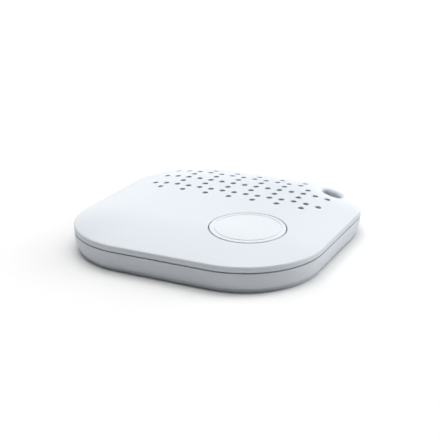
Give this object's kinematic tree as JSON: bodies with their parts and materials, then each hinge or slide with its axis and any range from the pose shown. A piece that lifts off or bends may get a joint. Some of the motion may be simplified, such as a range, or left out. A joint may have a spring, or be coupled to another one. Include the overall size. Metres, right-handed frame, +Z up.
{
  "type": "bluetooth beacon",
  "caption": "Flat rounded-square wireless beacon: crowned perforated cover, round push button, parting groove, key ring slot through one corner, coin cell and sounder inside.",
  "frame": {"origin": "middle of the flat underside", "axes": "+Z up through the button's face, +X along the rows of sound holes, key ring slot in the +X +Y corner, button in the +X -Y corner"},
  "size_m": [0.042, 0.042, 0.0062],
  "materials": {
    "cover_plastic": "fine satin",
    "case_plastic": "fine satin",
    "button_plastic": "fine satin",
    "mesh_cloth": "woven",
    "foam": "closed cell",
    "board_laminate": "solder mask",
    "cell_steel": "polished nickel-plated steel",
    "cell_seal": "moulded",
    "cell_powder": "pressed powder",
    "cell_felt": "felted",
    "lithium": "dull",
    "spring_steel": "nickel-plated",
    "brass": "rolled",
    "piezo_ceramic": "silvered",
    "switch_plastic": "moulded",
    "chip_resin": "moulded",
    "crystal_metal": "plated lid",
    "antenna_ceramic": "glazed ceramic",
    "ferrite": "sintered",
    "capacitor_ceramic": "fired ceramic with tinned ends",
    "resistor_ceramic": "coated ceramic with tinned ends"
  },
  "bodies": {
    "housing": {"top_cover": "cover_plastic", "bottom_case": "case_plastic", "dust_mesh": "mesh_cloth", "main_board": "board_laminate", "cell_can": "cell_steel", "cell_cap": "cell_steel", "cell_gasket": "cell_seal", "cell_cathode": "cell_powder", "cell_separator": "cell_felt", "cell_anode": "lithium", "negative_contact": "spring_steel", "positive_contact": "spring_steel", "buzzer_ring": "foam", "buzzer_plate": "brass", "buzzer_ceramic": "piezo_ceramic", "buzzer_springs": "spring_steel", "switch_base": "switch_plastic", "switch_frame": "spring_steel", "switch_dome": "spring_steel", "switch_terminals": "spring_steel", "radio_chip": "chip_resin", "main_crystal": "crystal_metal", "clock_crystal": "crystal_metal", "chip_antenna": "antenna_ceramic", "drive_coil": "ferrite", "drive_transistor": "chip_resin", "bulk_capacitor": "capacitor_ceramic", "small_capacitors": "capacitor_ceramic", "small_resistors": "resistor_ceramic"},
    "button": {"button_cap": "button_plastic", "switch_stem": "switch_plastic"}
  },
  "joints": [
    {"name": "button_press", "type": "slide", "parent": "housing", "child": "button", "axis": [0, 0, -1], "range_m": [0, 0.00025], "stiffness_N_per_m": 2800, "deforming": ["switch_dome"]}
  ]
}
